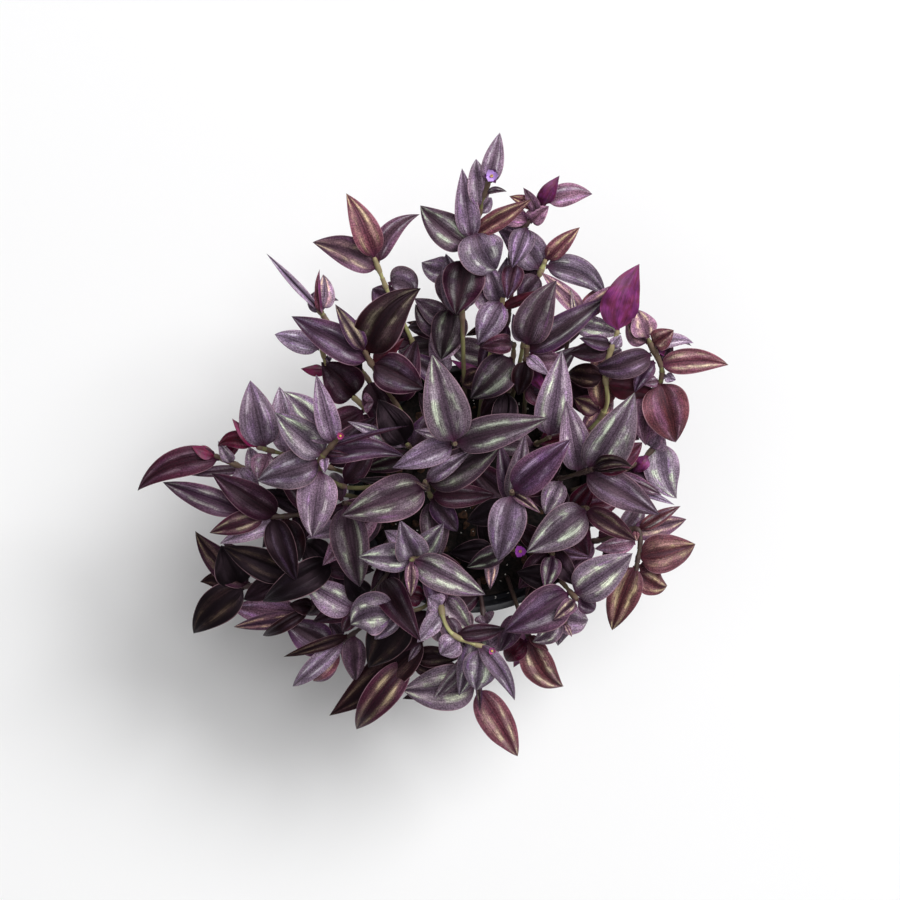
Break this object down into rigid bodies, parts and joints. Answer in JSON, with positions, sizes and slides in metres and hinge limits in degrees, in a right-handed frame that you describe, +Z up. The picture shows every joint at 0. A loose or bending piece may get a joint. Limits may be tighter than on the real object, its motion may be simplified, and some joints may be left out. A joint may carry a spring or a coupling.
{
  "type": "potted tradescantia",
  "caption": "Trailing tradescantia with striped purple-grey leaves and tiny flowers, in a round tapered plastic nursery pot.",
  "frame": {"origin": "centre of the underside of the pot", "axes": "+Z up along the pot's axis, +Y towards the top of the picture, +X to its right"},
  "size_m": [0.3471, 0.3654, 0.2329],
  "materials": {
    "pot": "satin, moulded",
    "soil": "moist potting soil with perlite",
    "foliage": "soft sheen, silver-green stripes, purple underside",
    "petals": "matt petals"
  },
  "bodies": {
    "root": {"flower_centre": "petals", "flower_north": "petals", "flower_south": "petals", "flower_west": "petals", "pot": "pot", "shoot_centre_east": "foliage", "shoot_centre_north": "foliage", "shoot_centre_north_west": "foliage", "shoot_centre_south": "foliage", "shoot_centre_south_east": "foliage", "shoot_centre_south_west": "foliage", "shoot_centre_west": "foliage", "shoot_east_centre": "foliage", "shoot_east_far": "foliage", "shoot_east_lower": "foliage", "shoot_east_middle": "foliage", "shoot_east_upper": "foliage", "shoot_far_north_east": "foliage", "shoot_north_east": "foliage", "shoot_north_east_centre": "foliage", "shoot_north_east_low": "foliage", "shoot_north_east_middle": "foliage", "shoot_north_east_stem": "foliage", "shoot_north_flowering": "foliage", "shoot_north_middle": "foliage", "shoot_north_west": "foliage", "shoot_north_west_far": "foliage", "shoot_north_west_near": "foliage", "shoot_south_east": "foliage", "shoot_south_east_low": "foliage", "shoot_south_far": "foliage", "shoot_south_low": "foliage", "shoot_south_stem": "foliage", "shoot_south_west": "foliage", "shoot_south_west_far": "foliage", "shoot_south_west_low": "foliage", "shoot_south_west_stem": "foliage", "shoot_upper_middle": "foliage", "shoot_upper_middle_east": "foliage", "shoot_west_centre": "foliage", "shoot_west_far": "foliage", "shoot_west_low": "foliage", "shoot_west_lower_far": "foliage", "shoot_west_middle": "foliage", "shoot_west_star": "foliage", "shoot_west_upper": "foliage", "shoot_west_upper_middle": "foliage", "soil": "soil"}
  },
  "joints": []
}
